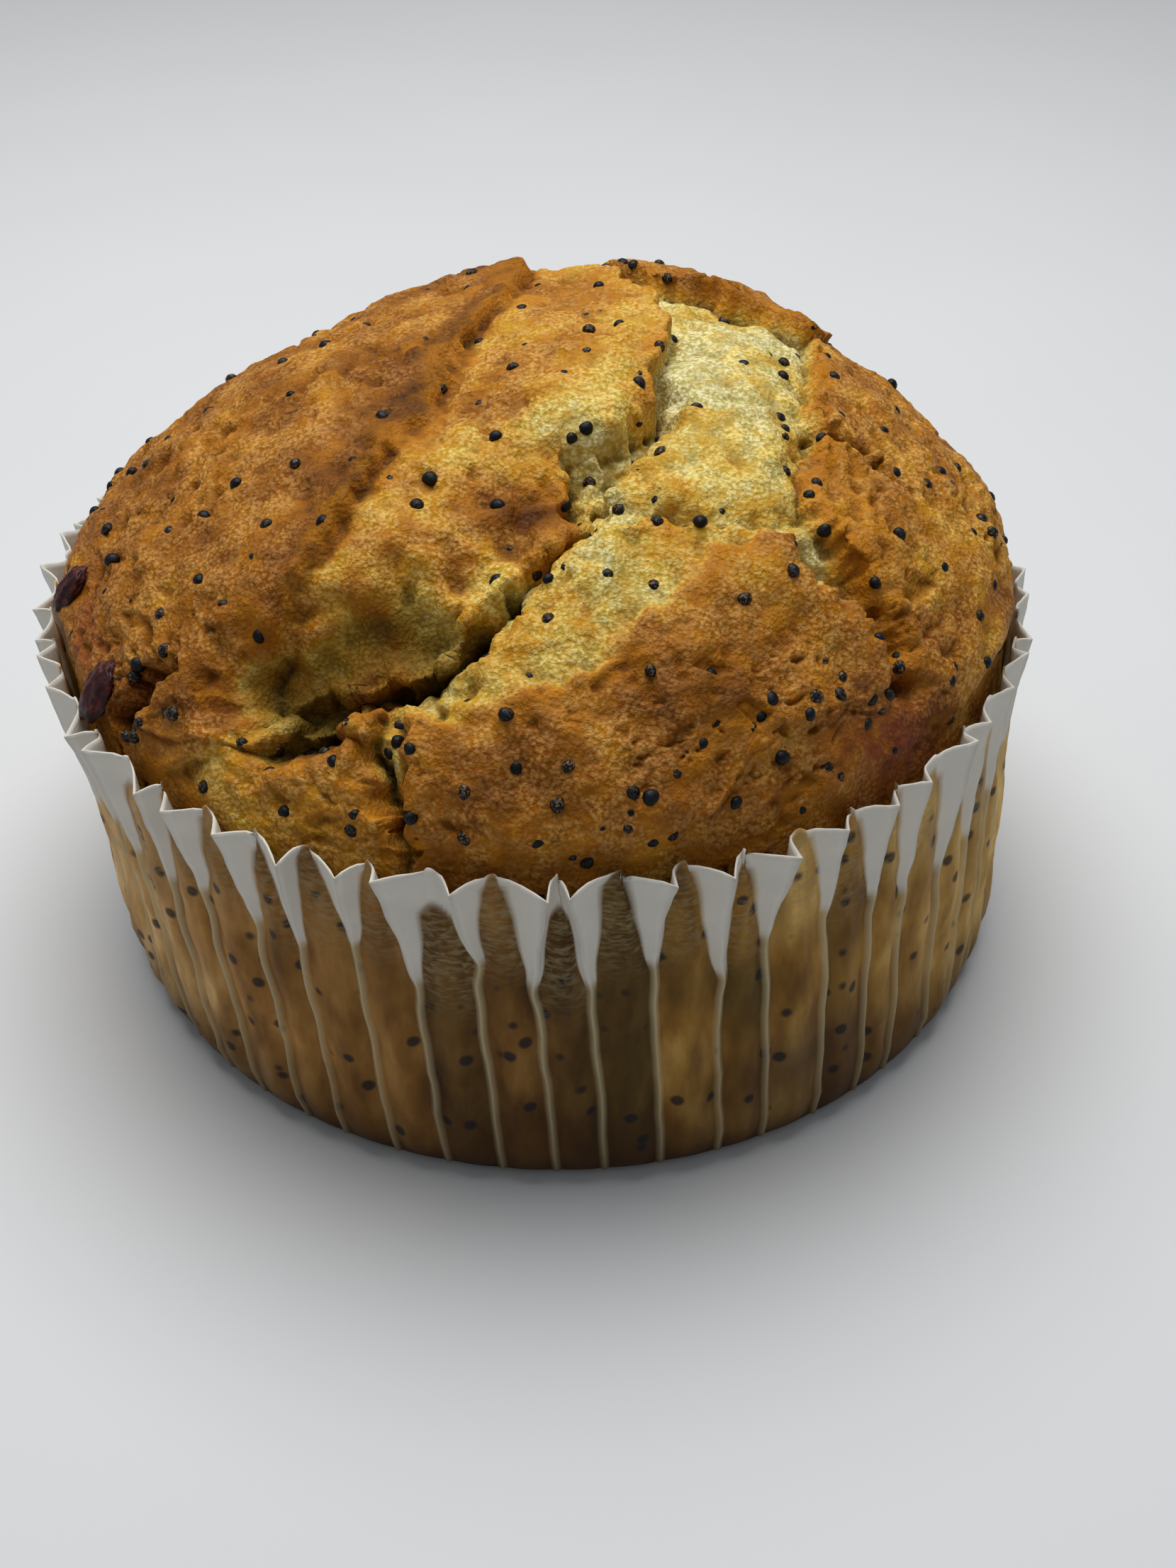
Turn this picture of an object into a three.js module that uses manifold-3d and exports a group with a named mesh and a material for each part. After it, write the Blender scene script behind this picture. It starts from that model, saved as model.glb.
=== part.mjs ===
// A jumbo poppy-seed muffin in its pleated paper case, standing on its flat base.
// Millimetres, +Z up. The origin is the centre of the paper's flat bottom, and the deep crack
// runs across the -Y side of the dome.

import * as THREE from "three";
import { mergeVertices } from "three/addons/utils/BufferGeometryUtils.js";
import Module from "manifold-3d";

// The dome: a boxy ellipsoid that leans, so its crown is higher on the +X side.
const DOME_RADIUS = 44.7;
const DOME_RISE = 31.5; // from the widest ring to the crown
const DOME_FLOOR = 26; // height of the widest ring
const DOME_CENTRE = [-1.8, 0];
const DOME_LEAN = [0.11, 0.04]; // share of the rise gained towards +X and +Y
const BOXINESS = 2.2; // 2 is a plain ellipsoid
const DOME_DETAIL = 37; // splits of each side of the octahedron under the dome

// The paper case, and the side of the cake that fills it.
const RIM_HEIGHT = 36;
const RIM_SHIFT = [-2.2, -0.4]; // how far the case leans over between base and rim
const RIM_OVAL = [1.005, 0.975]; // the rim is wider along X than along Y
const PAPER = 0.4;
const CASE_GAP = 0.3; // between the cake and the paper
const FLAT_BASE = 40.2; // radius of the flat bottom
const PLEATS = 56;

// Rings of the case: a height, the radius at the feet of the pleats, how far a pleat's ridge stands out
// and how far to each side of the ridge its feet lie, in shares of a pleat.
const RINGS = [
  { height: 0, foot: FLAT_BASE, ridge: 0, spread: 0.2 },
  { height: 0.9, foot: 42.4, ridge: 0.4, spread: 0.2 },
  { height: 4, foot: 43, ridge: 0.6, spread: 0.2 },
  { height: 14, foot: 43.2, ridge: 0.8, spread: 0.2 },
  { height: 25, foot: 43.5, ridge: 0.9, spread: 0.24 },
  { height: 31, foot: 43.8, ridge: 1.4, spread: 0.34 },
  { height: RIM_HEIGHT, foot: 43.9, ridge: 1.8, spread: 0.46 },
];
const RAGGED_RIM = 1.2; // between the lowest and the highest pleat

// The side of the cake follows the inside of the case.
const INSET = PAPER + CASE_GAP;
const CAKE_SIDE = RINGS.map(({ height, foot }) => [foot - INSET, height + INSET]);
const CAKE_SHOULDER = CAKE_SIDE.at(-1);

// Fused seeds and the fruit bits.
const SEED_COUNT = 74;
const SEED_RADIUS = [0.56, 0.66];
const SEED_SPACING = 6.2;
const LEAST_SUNK = 0.3; // share of a seed that the crust holds
const MOST_SUNK = 0.7;
const SEED_LIFTS = [0.2, 0, 0.4, -0.2, 0.6, -0.4, 0.8];
const BIT_GAP = 0.3;

// The crust map: places on the dome in millimetres of arc from the crown, u towards +X and v towards +Y.
const ARC = 40; // of one radian
const CRUMB_LEVEL = -2.2; // pale crumb lies this far under the dome's ellipsoid

// Plates of crust, each a closed outline on the crust map that stands above the crumb. Its edge climbs
// over a width of so many millimetres.
const PLATES = [
  {
    // The big left plate with the golden band and the lobe that hangs over the crack.
    rise: 2.2,
    edge: 1.3,
    outline: [
      [6, 75], [6, 17], [8, 12], [10.5, 8], [11, 2.5], [9, -2], [8.5, -8], [6, -10], [2.5, -11],
      [2, -15], [3.5, -19], [1, -22], [-3, -26], [-5, -29], [-8, -32], [-10, -31], [-11.5, -33.5],
      [-13, -31.5], [-20.5, -29.5], [-22, -34], [-26, -35.5], [-31, -33], [-36, -30], [-34, -27],
      [-29, -26.5], [-31, -24.5], [-35, -24], [-46, -34], [-70, -20], [-60, 75],
    ],
  },
  {
    // The front plate, cracked along its left side and lapped over the crust at its lower right.
    rise: 2.2,
    edge: 1.8,
    outline: [
      [-10, -37], [-9, -35.5], [-6, -34], [-4, -31], [-1.5, -27], [2, -23], [4.8, -20.3], [9, -19.6],
      [14, -19.4], [18.5, -19.5], [22, -21], [27, -23.5], [29.5, -26], [31, -29], [31, -31.5],
      [26, -34], [21, -36.5], [18, -39.5], [16.5, -42.5], [15, -45], [12, -47.5], [7, -50], [3, -53],
      [-4, -56], [-11, -54], [-10.6, -43], [-9.8, -40],
    ],
  },
  {
    // The small piece with a raised point between the cave and the side crack.
    rise: 1.8,
    edge: 1.1,
    outline: [
      [-25, -36], [-21, -37.5], [-17, -36], [-15.5, -34], [-13.4, -34.5], [-14.2, -38], [-13.1, -42],
      [-11.9, -47], [-13, -58], [-30, -56], [-50, -34], [-40, -29], [-31, -31], [-27, -33],
    ],
  },
  {
    // Lower crust along the right side, from the rim to the back edge of the pale field.
    rise: 1.9,
    edge: 2.2,
    outline: [
      [0, -50], [8, -45], [13, -38], [20, -33], [30, -29.5], [33, -27], [31, -24], [24, -19],
      [20.5, -14], [22.5, -8], [22, 0], [24, 10], [26, 75], [60, 75], [70, -20], [40, -60], [3, -62],
    ],
  },
  {
    // The crust behind the pale field.
    rise: 2.5,
    edge: 1.1,
    outline: [[5, 19.5], [9, 18.5], [13, 16.5], [19, 14], [23.5, 10], [27, 14], [25, 75], [5, 75]],
  },
  {
    // The pale mound that rose through the crack.
    rise: 1.5,
    edge: 3.6,
    outline: [[6, -13], [8, -9], [12, -6], [19, -5], [21.5, -11], [20, -17], [15, -19], [9, -18]],
  },
];

// Layers of browner crust on top of the left and the front plate.
const LAYERS = [
  {
    rise: 1,
    edge: 1.2,
    outline: [
      [-1.6, 19], [-1.9, 11], [-4.6, 6], [-6.6, 1.5], [-7.2, -5], [-11, -11.5], [-14, -17.5],
      [-18, -22.5], [-22.5, -28.5], [-24, -33], [-31, -36], [-46, -34], [-70, -20], [-60, 75],
      [2, 75], [-1, 30],
    ],
  },
  {
    rise: 0.5,
    edge: 1.4,
    outline: [
      [-10, -37], [-9, -35.5], [-6, -36.5], [-3, -35], [3, -33.5], [7, -30.5], [9.5, -27], [13, -23],
      [18.5, -19.5], [22, -21], [27, -23.5], [31, -29], [21, -36.5], [16.5, -42.5], [12, -47.5],
      [3, -53], [-4, -56], [-11, -54], [-11, -43],
    ],
  },
];

// Grooves: routes on the crust map with a half width and a depth at their middle. A steeper groove has
// a flatter floor.
const GROOVES = [
  { width: 2, depth: 5, steep: 2, route: [[-21, -33.5], [-16, -33.2], [-10, -32.6], [-3, -26.7]] },
  { width: 5.2, depth: 5, steep: 3, route: [[-21, -30.2], [-15, -29.6], [-9.5, -28]] },
  { width: 4.2, depth: 2.6, steep: 2, route: [[-9.5, -28], [-4.6, -23.8], [0, -18.6], [2.4, -14.8]] },
  { width: 1.2, depth: 3.2, steep: 2, route: [[-3, -26.7], [1.5, -22], [4.5, -19.4], [5.5, -15]] },
  { width: 1.6, depth: 2.4, steep: 2, route: [[4.6, -16], [6.2, -11.8], [9, -8.8], [10, -4]] },
  { width: 1.3, depth: 2, steep: 2, route: [[-14, -36], [-12.4, -40], [-11.4, -45]] },
  { width: 1.5, depth: 2.7, steep: 2, route: [[21.5, -20.8], [27, -22.8], [30.5, -25.5], [32.6, -28.5]] },
  { width: 1.1, depth: 1.1, steep: 2, route: [[22, -6.4], [25, -6.2], [28, -7.7], [31, -9]] },
];

// Pits: hollows with a radius along u and along v, such as the cave at the crack's left end.
const PITS = [
  { at: [-18, -33.4], radius: [4.8, 2.6], depth: 5.2 },
  { at: [-23.5, -35.3], radius: [2, 2], depth: 2.2 },
  { at: [-33.5, -26], radius: [1.8, 1.8], depth: 3 },
  { at: [-8.5, -31.5], radius: [2, 2], depth: 1.8 },
  { at: [-36.5, -27.5], radius: [1.3, 1.3], depth: 1.4 },
];

// Swells: broad rises, or falls where the height is negative.
const SWELLS = [
  { at: [2, -5], radius: [6, 8], height: 0.9 },
  { at: [-10, -21], radius: [5, 8], height: 0.8 },
  { at: [19, -23], radius: [7, 5], height: 1.3 },
  { at: [-2, -42], radius: [9, 6], height: 0.6 },
  { at: [-45, -14], radius: [7, 14], height: 1 },
  { at: [45, -8], radius: [7, 18], height: 1.3 },
  { at: [-25, 22], radius: [13, 12], height: -1.4 },
  { at: [31, 22], radius: [9, 9], height: -1.2 },
  { at: [-1, 20], radius: [10, 10], height: 0.4 },
  { at: [15, 4], radius: [8, 9], height: 1.1 },
  { at: [-5, -2], radius: [4, 9], height: -0.5 },
  { at: [15, 26], radius: [10, 9], height: 0.9 },
  { at: [-14.5, -35.6], radius: [2.4, 2.2], height: 1 },
];

// Fruit bits that stand out of the left side: place on the crust map, and radii along the dome and out
// of it.
const FRUIT_BITS = [
  { name: "fruit_bit_upper", at: [-43, -10.5], radii: [1.5, 2.3, 1.3] },
  { name: "fruit_bit_lower", at: [-40, -24.5], radii: [1.7, 2.6, 1.4] },
];

const wasm = await Module();
wasm.setup();

// Steady random numbers from 0 to 1.
function randomFrom(seed) {
  let state = seed;
  return () => {
    state = (state * 1664525 + 1013904223) % 4294967296;
    return state / 4294967296;
  };
}

function clamp01(t) {
  return Math.min(1, Math.max(0, t));
}

function smooth(t) {
  const x = clamp01(t);
  return x * x * (3 - 2 * x);
}

// Distance from a place to a straight stretch.
function stretchDistance(u, v, [au, av], [bu, bv]) {
  const du = bu - au;
  const dv = bv - av;
  const t = clamp01(((u - au) * du + (v - av) * dv) / (du * du + dv * dv));
  return Math.hypot(u - au - t * du, v - av - t * dv);
}

function routeDistance(u, v, route) {
  let nearest = Infinity;
  for (let i = 1; i < route.length; i += 1) {
    nearest = Math.min(nearest, stretchDistance(u, v, route[i - 1], route[i]));
  }
  return nearest;
}

// Distance into a closed outline: positive inside, negative outside.
function outlineDepth(u, v, outline) {
  let inside = false;
  let nearest = Infinity;
  for (let i = 0; i < outline.length; i += 1) {
    const a = outline[i];
    const b = outline[(i + 1) % outline.length];
    nearest = Math.min(nearest, stretchDistance(u, v, a, b));
    if (a[1] > v !== b[1] > v && u < ((b[0] - a[0]) * (v - a[1])) / (b[1] - a[1]) + a[0]) inside = !inside;
  }
  return inside ? nearest : -nearest;
}

// 1 at a place, falling to 0 over a radius along u and one along v.
function hill(u, v, at, radius) {
  return Math.exp(-(((u - at[0]) / radius[0]) ** 2) - ((v - at[1]) / radius[1]) ** 2);
}

// The highest of several shapes at a place, each with its edge rounded off.
function highest(u, v, shapes) {
  let height = 0;
  for (const { rise, edge, outline } of shapes) {
    height = Math.max(height, rise * smooth(0.5 + outlineDepth(u, v, outline) / edge));
  }
  return height;
}

// Slow waves that keep the crust from being even.
function unevenness(u, v) {
  const long = Math.sin(u * 0.31 + 1.7 * Math.sin(v * 0.17)) * Math.sin(v * 0.27 + 1.3 * Math.sin(u * 0.21));
  const short = Math.sin(u * 0.93 + 2 * Math.sin(v * 0.52)) * Math.sin(v * 0.85 + 2 * Math.sin(u * 0.47));
  return 0.35 * long + 0.1 * short;
}

// Height of the crust over the dome's ellipsoid.
function relief(u, v) {
  let height = CRUMB_LEVEL + highest(u, v, PLATES) + highest(u, v, LAYERS) + unevenness(u, v);
  for (const { at, radius, height: swell } of SWELLS) height += swell * hill(u, v, at, radius);
  let hollow = 0;
  for (const { width, depth, steep, route } of GROOVES) {
    hollow = Math.max(hollow, depth * Math.exp(-((routeDistance(u, v, route) / width) ** steep)));
  }
  for (const { at, radius, depth } of PITS) hollow = Math.max(hollow, depth * hill(u, v, at, radius));
  return height - hollow;
}

// A point of the dome and its outward direction, from a direction out of the dome's centre.
function domePoint(direction) {
  const { x, y, z } = direction;
  const flat = Math.hypot(x, y);
  const reach = (flat ** BOXINESS + Math.abs(z) ** BOXINESS) ** (-1 / BOXINESS);
  const rise = DOME_RISE * (1 + (DOME_LEAN[0] * x + DOME_LEAN[1] * y) * reach);
  const point = new THREE.Vector3(
    DOME_CENTRE[0] + DOME_RADIUS * reach * x,
    DOME_CENTRE[1] + DOME_RADIUS * reach * y,
    DOME_FLOOR + rise * reach * z,
  );
  const out = new THREE.Vector3(x / DOME_RADIUS, y / DOME_RADIUS, z / rise).normalize();
  return { point, out };
}

// Direction out of the dome's centre for a place on the crust map.
function mapDirection(u, v) {
  const turn = Math.atan2(v, u);
  const polar = Math.hypot(u, v) / ARC;
  return new THREE.Vector3(Math.cos(turn), Math.sin(turn), 0)
    .multiplyScalar(Math.sin(polar))
    .setZ(Math.cos(polar));
}

// A point of the crust and its outward direction, with the relief.
function crustPoint(u, v, lift = 0) {
  const { point, out } = domePoint(mapDirection(u, v));
  return { point: point.addScaledVector(out, relief(u, v) + lift), out };
}

// How the case has settled: round and centred at the base, leaning and oval at the rim and above.
function settle(position) {
  const share = clamp01(position.z / RIM_HEIGHT);
  position.x = position.x * THREE.MathUtils.lerp(1, RIM_OVAL[0], share) + RIM_SHIFT[0] * share;
  position.y = position.y * THREE.MathUtils.lerp(1, RIM_OVAL[1], share) + RIM_SHIFT[1] * share;
}

// Moves each vertex of a geometry by a function that changes the vector in place.
function moveVertices(geometry, change) {
  const places = geometry.getAttribute("position");
  const vertex = new THREE.Vector3();
  for (let i = 0; i < places.count; i += 1) {
    vertex.fromBufferAttribute(places, i);
    change(vertex, i);
    places.setXYZ(i, vertex.x, vertex.y, vertex.z);
  }
  return geometry;
}

// Only positions, with shared vertices merged.
function closed(geometry) {
  geometry.deleteAttribute("normal");
  geometry.deleteAttribute("uv");
  return mergeVertices(geometry, 1e-3);
}

function solidOf(geometry) {
  const merged = closed(geometry);
  const mesh = new wasm.Mesh({
    numProp: 3,
    vertProperties: new Float32Array(merged.attributes.position.array),
    triVerts: new Uint32Array(merged.index.array),
  });
  return new wasm.Manifold(mesh);
}

function geometryOf(solid) {
  const mesh = solid.getMesh();
  const geometry = new THREE.BufferGeometry();
  geometry.setAttribute("position", new THREE.BufferAttribute(mesh.vertProperties, 3));
  geometry.setIndex(new THREE.BufferAttribute(mesh.triVerts, 1));
  geometry.computeVertexNormals();
  return geometry;
}

function turnedProfile(profile, segments) {
  const points = profile.map(([radius, height]) => new THREE.Vector2(radius, height));
  return new THREE.LatheGeometry(points, segments).rotateX(Math.PI / 2);
}

// The whole dome with its relief, as a closed solid that reaches down inside the case.
function domeSolid() {
  const sphere = new THREE.OctahedronGeometry(1, DOME_DETAIL).rotateX(Math.PI / 2);
  moveVertices(sphere, (vertex) => {
    const direction = vertex.clone().normalize();
    const polar = Math.acos(THREE.MathUtils.clamp(direction.z, -1, 1));
    const turn = Math.atan2(direction.y, direction.x);
    const { point, out } = domePoint(direction);
    const height = direction.z > 0 ? relief(ARC * polar * Math.cos(turn), ARC * polar * Math.sin(turn)) : 0;
    vertex.copy(point.addScaledVector(out, height));
  });
  return solidOf(sphere);
}

// A core that fills the case below the dome.
function coreSolid() {
  const top = DOME_FLOOR + 4;
  const wide = DOME_RADIUS + 10;
  return solidOf(turnedProfile([[0, 0], [wide, 0], [wide, top], [0, top]], PLEATS));
}

// The room inside the case, open upwards: what the cake is trimmed to.
function caseRoomSolid() {
  const wide = DOME_RADIUS + 15;
  const ceiling = 2 * RIM_HEIGHT;
  const [radius, height] = CAKE_SHOULDER;
  const profile = [
    [0, INSET],
    ...CAKE_SIDE,
    [radius + 1.2, height + 1.5],
    [wide, height + 4],
    [wide, ceiling],
    [0, ceiling],
  ];
  const room = turnedProfile(profile, PLEATS);
  return solidOf(moveVertices(room, settle));
}

// A small crumpled ball around a place on the crust.
function fruitGeometry({ at, radii }, grow) {
  const { point, out } = crustPoint(at[0], at[1], 0.2);
  const ball = new THREE.IcosahedronGeometry(1, 1);
  const toOut = new THREE.Quaternion().setFromUnitVectors(new THREE.Vector3(0, 0, 1), out);
  return moveVertices(ball, (vertex) => {
    const crumple = 1 + 0.12 * Math.sin(5 * vertex.x + 3 * vertex.z) * Math.cos(4 * vertex.y);
    vertex.set(
      vertex.x * (radii[0] * crumple + grow),
      vertex.y * (radii[1] * crumple + grow),
      vertex.z * (radii[2] * crumple + grow),
    );
    vertex.applyQuaternion(toOut).add(point);
  });
}

// Places for the seeds: on the open crust, spread evenly and clear of cracks, paper and fruit.
function seedPlaces() {
  const random = randomFrom(20);
  const places = [];
  const farthest = 50;
  for (let tries = 0; tries < 4000 && places.length < SEED_COUNT; tries += 1) {
    const reach = farthest * Math.sqrt(random());
    const turn = 2 * Math.PI * random();
    const u = reach * Math.cos(turn);
    const v = reach * Math.sin(turn);
    const alongU = Math.abs(relief(u + 1, v) - relief(u - 1, v));
    const alongV = Math.abs(relief(u, v + 1) - relief(u, v - 1));
    const crowded = places.some((place) => Math.hypot(place.u - u, place.v - v) < SEED_SPACING);
    const nearFruit = FRUIT_BITS.some(({ at }) => Math.hypot(at[0] - u, at[1] - v) < 6);
    if (Math.max(alongU, alongV) < 0.9 && !crowded && !nearFruit) places.push({ u, v });
  }
  return places;
}

// A seed as a small ball, tried at several depths until the crust holds part of it.
function seededCake(cake, { u, v }, radius) {
  for (const lift of SEED_LIFTS) {
    const { point } = crustPoint(u, v, lift);
    const seed = solidOf(new THREE.IcosahedronGeometry(radius, 0).translate(point.x, point.y, point.z));
    const sunk = cake.intersect(seed).volume() / seed.volume();
    if (sunk > LEAST_SUNK && sunk < MOST_SUNK) return cake.add(seed);
  }
  return cake;
}

function muffinGeometry() {
  let cake = domeSolid().add(coreSolid()).intersect(caseRoomSolid());
  const [small, large] = SEED_RADIUS;
  seedPlaces().forEach((place, i) => {
    cake = seededCake(cake, place, THREE.MathUtils.lerp(large, small, i / SEED_COUNT));
  });
  for (const bit of FRUIT_BITS) cake = cake.subtract(solidOf(fruitGeometry(bit, BIT_GAP)));
  return geometryOf(cake);
}

// The case is one closed sheet with a ridge and two feet for every pleat: up the outside ring by ring,
// over the rim and down the inside.
function caseGeometry() {
  const random = randomFrom(7);
  const outside = RINGS.map((ring) => ({ ...ring, inner: false }));
  const inside = RINGS.map((ring) => ({ ...ring, foot: ring.foot - PAPER, inner: true })).reverse();
  const stations = [...outside, ...inside];
  const floorOf = (ring) => (ring.inner ? Math.max(ring.height, PAPER) : ring.height);
  const profile = [[0, 0], ...stations.map((ring) => [ring.foot, floorOf(ring)]), [0, PAPER]];
  const pleats = Array.from({ length: PLEATS }, () => {
    const tall = random() - 0.5;
    return { tall, turn: 0.24 * (random() - 0.5) };
  });
  const sheet = turnedProfile(profile, 3 * PLEATS);
  moveVertices(sheet, (vertex, i) => {
    const ring = stations[(i % profile.length) - 1];
    if (!ring) return;
    const segment = Math.floor(i / profile.length) % (3 * PLEATS);
    const pleat = Math.floor(segment / 3);
    const corner = (segment % 3) - 1;
    const { tall, turn } = pleats[pleat];
    const angle = (2 * Math.PI * (pleat + corner * ring.spread + turn)) / PLEATS;
    const radius = ring.foot + (corner === 0 ? ring.ridge : 0);
    const atRim = ring.height === RIM_HEIGHT ? 1 : 0;
    vertex.set(radius * Math.sin(angle), -radius * Math.cos(angle), vertex.z + atRim * RAGGED_RIM * tall);
    settle(vertex);
  });
  return geometryOf(solidOf(sheet));
}

function node(name, geometry, color, roughness) {
  const mesh = new THREE.Mesh(geometry, new THREE.MeshStandardMaterial({ color, roughness, metalness: 0 }));
  mesh.name = name;
  return mesh;
}

const group = new THREE.Group();
group.add(node("muffin", muffinGeometry(), 0xa8702c, 0.8));
group.add(node("paper_case", caseGeometry(), 0xb9a888, 0.6));
for (const bit of FRUIT_BITS) {
  group.add(node(bit.name, geometryOf(solidOf(fruitGeometry(bit, 0))), 0x4a1220, 0.4));
}

export default group;
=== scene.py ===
# %% [markdown]
# # A jumbo poppy-seed muffin in its paper case
# The real thing is a soft cake that rose out of a pleated paper case and cracked on one side. The
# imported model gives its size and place. This lesson builds a fine crust, loose-looking seeds, a folded
# paper case and two fruit bits over it, each as one piece that stands for a solid of the model.

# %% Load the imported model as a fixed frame
import math
import random

import bmesh
import bpy
import numpy as np
from mathutils import Matrix, Vector, noise


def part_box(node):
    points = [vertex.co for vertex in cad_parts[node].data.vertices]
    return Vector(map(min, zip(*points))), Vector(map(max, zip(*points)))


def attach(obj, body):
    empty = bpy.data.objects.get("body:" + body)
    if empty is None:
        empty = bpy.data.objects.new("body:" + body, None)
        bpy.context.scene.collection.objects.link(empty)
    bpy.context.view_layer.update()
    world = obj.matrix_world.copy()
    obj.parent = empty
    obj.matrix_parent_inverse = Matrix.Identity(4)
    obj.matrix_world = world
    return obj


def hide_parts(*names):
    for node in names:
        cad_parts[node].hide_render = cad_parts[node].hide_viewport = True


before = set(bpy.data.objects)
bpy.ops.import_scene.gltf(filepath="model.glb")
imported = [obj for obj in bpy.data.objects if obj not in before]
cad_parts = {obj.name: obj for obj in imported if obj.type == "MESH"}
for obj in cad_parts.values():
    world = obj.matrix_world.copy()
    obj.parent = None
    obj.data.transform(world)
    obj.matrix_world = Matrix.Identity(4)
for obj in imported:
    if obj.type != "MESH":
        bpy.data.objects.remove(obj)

NOISE_SEED = 1795536503
noise.seed_set(NOISE_SEED)  # noise_vector would take its pattern from the clock without it
MM = 0.001
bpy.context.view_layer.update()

# %% [markdown]
# ## Camera
# A camera is placed by its distance, its angle and its lens. Here it looks down at the front of the
# muffin from a little over two muffin widths away, as a person sees one on a table. That near, the
# front of the case looks larger than its back, which a long lens would hide.

# %% Camera
CAMERA_PLACE = (2.6, -157.36, 134.97)  # mm
CAMERA_DOWN = 38.4  # degrees under the horizon
LENS = 45.57
camera_data = bpy.data.cameras.new("camera")
camera_data.lens = LENS
camera_data.sensor_width = 36
camera_data.clip_start = 0.01
camera = bpy.data.objects.new("camera", camera_data)
camera.location = Vector(CAMERA_PLACE) * MM
camera.rotation_euler = (math.radians(90 - CAMERA_DOWN), 0, 0)
bpy.context.collection.objects.link(camera)
bpy.context.scene.camera = camera
print("camera", round(camera.location.length / MM), "mm from the base")

# %% [markdown]
# ## Helpers
# Every piece goes through the same few steps: a bmesh becomes an object at the origin, numpy reads
# and writes the places of its vertices in millimetres, and a painted attribute carries a number per
# vertex to the material. Colours are written as the eye reads them, in sRGB hex, and turned to the
# linear values that the renderer adds and multiplies.

# %% From a bmesh to a piece
def piece_from(bm, name):
    """The bmesh as a smooth-shaded object at the origin."""
    mesh = bpy.data.meshes.new(name)
    bm.to_mesh(mesh)
    bm.free()
    mesh.shade_smooth()
    piece = bpy.data.objects.new(name, mesh)
    bpy.context.collection.objects.link(piece)
    return piece


def places_of(mesh):
    """The vertex places in mm, one row each."""
    flat = np.empty(3 * len(mesh.vertices))
    mesh.vertices.foreach_get("co", flat)
    return flat.reshape(-1, 3) / MM


def put_places(mesh, places):
    mesh.vertices.foreach_set("co", (places * MM).ravel())
    mesh.update()


def normals_of(mesh):
    flat = np.empty(3 * len(mesh.vertices))
    mesh.vertex_normals.foreach_get("vector", flat)
    return flat.reshape(-1, 3)


def paint(mesh, name, values):
    """A number per vertex that a material reads with an Attribute node."""
    layer = mesh.attributes.new(name, "FLOAT", "POINT")
    layer.data.foreach_set("value", np.asarray(values, dtype=np.float32))


# %% Curves and noise
def smooth(t):
    x = np.clip(t, 0, 1)
    return x * x * (3 - 2 * x)


def waves(places, size, seed=0.0):
    """Smooth noise from about -1 to 1 whose bumps are about size mm across."""
    rows = (places / size + (seed, 0.7 * seed, -seed)).tolist()
    return np.array([noise.noise(row) for row in rows])


def waves3(places, size, seed=0.0):
    """Three such noises at once, as the columns of an array."""
    rows = (places / size + (seed, 0.7 * seed, -seed)).tolist()
    return np.array([noise.noise_vector(row)[:] for row in rows])


# %% Colours and nodes
def linear(hex_code):
    """An sRGB hex colour as linear RGBA."""
    parts = [int(hex_code[i : i + 2], 16) / 255 for i in (1, 3, 5)]
    return tuple(p / 12.92 if p <= 0.04045 else ((p + 0.055) / 1.055) ** 2.4 for p in parts) + (1.0,)


def per_mm(size):
    """The texture scale whose pattern repeats every size mm on Object coordinates."""
    return 1 / (size * MM)


def add_node(tree, kind, inputs=None, stops=None, out=0, **settings):
    """Adds a node and returns one of its outputs. An input is given a number, a hex colour or the
    output that it reads, and a colour ramp is given its stops."""
    node = tree.nodes.new("ShaderNode" + kind)
    for key, value in settings.items():
        setattr(node, key, value)
    for key, value in (inputs or {}).items():
        if isinstance(value, bpy.types.NodeSocket):
            tree.links.new(value, node.inputs[key])
        else:
            node.inputs[key].default_value = linear(value) if isinstance(value, str) else value
    for number, (place, hex_code) in enumerate(stops or []):
        if number > 1:
            node.color_ramp.elements.new(place)
        node.color_ramp.elements[number].position = place
        node.color_ramp.elements[number].color = linear(hex_code)
    return node.outputs[out] if node.outputs else node


def new_material(name, roughness, specular):
    """A material with only a Principled shader. Returns its tree, the shader and Object coordinates."""
    material = bpy.data.materials.new(name)
    material.use_nodes = True
    tree = material.node_tree
    tree.nodes.clear()
    shader = add_node(tree, "BsdfPrincipled", {"Roughness": roughness, "Specular IOR Level": specular})
    add_node(tree, "OutputMaterial", {"Surface": shader})
    return material, tree, shader.node, add_node(tree, "TexCoord", out="Object")


# %% [markdown]
# ## The dome's form
# The dome under the crust is a squarish ellipsoid that leans. Every place on it has two numbers, the
# crust map: millimetres of arc from the crown, u to the right and v to the back. All relief is drawn
# on that map, so a crack keeps its width wherever it runs. A sculpted mesh would need stored
# vertices. A map of outlines and routes stays short and can be changed by name.

# %% The dome and its map
DOME_RADIUS = 44.7
DOME_RISE = 31.5
DOME_FLOOR = 26.0
DOME_CENTRE = (-1.8, 0.0)
DOME_LEAN = (0.11, 0.04)
BOXINESS = 2.2
ARC = 40.0
CRUMB_LEVEL = -2.2
RIM_HEIGHT = 36.0
RIM_SHIFT = (-2.2, -0.4)
RIM_OVAL = (1.005, 0.975)


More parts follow.
